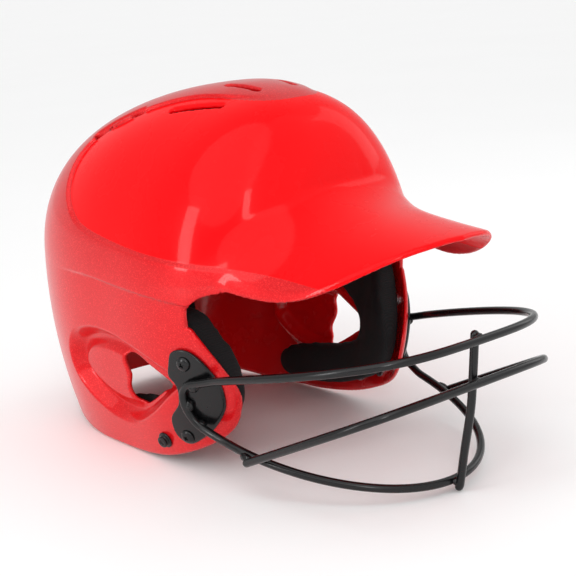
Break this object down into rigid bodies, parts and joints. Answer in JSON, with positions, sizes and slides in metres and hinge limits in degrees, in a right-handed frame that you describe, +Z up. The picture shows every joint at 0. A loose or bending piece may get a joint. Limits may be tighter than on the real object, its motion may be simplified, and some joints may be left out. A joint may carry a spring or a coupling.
{
  "type": "batting helmet",
  "caption": "Glossy red double-flap batting helmet with a brim, ear bowls, black padding and a bolted black wire face guard.",
  "frame": {"origin": "centre of the bounding box's base, where the helmet rests on its neck rim, ear flaps and guard", "axes": "+Z up, -Y towards the front of the brim and the face guard, +X to the wearer's left"},
  "size_m": [0.21, 0.3715, 0.2397],
  "materials": {
    "red_shell": "gloss red with fine flake on the lower band and flaps",
    "black_padding": "matte black knit over foam",
    "guard_coating": "satin black powder coat",
    "black_fastener": "gloss black",
    "plated_fastener": "zinc plated"
  },
  "bodies": {
    "root": {"brow_pad": "black_padding", "centre_bar": "guard_coating", "crown_pad": "black_padding", "jaw_pad_left": "black_padding", "jaw_pad_right": "black_padding", "lower_screw_left": "black_fastener", "lower_screw_right": "black_fastener", "lower_tee_nut_left": "plated_fastener", "lower_tee_nut_right": "plated_fastener", "middle_wire": "guard_coating", "outer_loop_wire": "guard_coating", "rear_pad": "black_padding", "shell": "red_shell", "side_plate_left": "guard_coating", "side_plate_right": "guard_coating", "strap_stud_left": "black_fastener", "strap_stud_right": "black_fastener", "stud_washer_left": "plated_fastener", "stud_washer_right": "plated_fastener", "upper_screw_left": "black_fastener", "upper_screw_right": "black_fastener", "upper_tee_nut_left": "plated_fastener", "upper_tee_nut_right": "plated_fastener"}
  },
  "joints": []
}
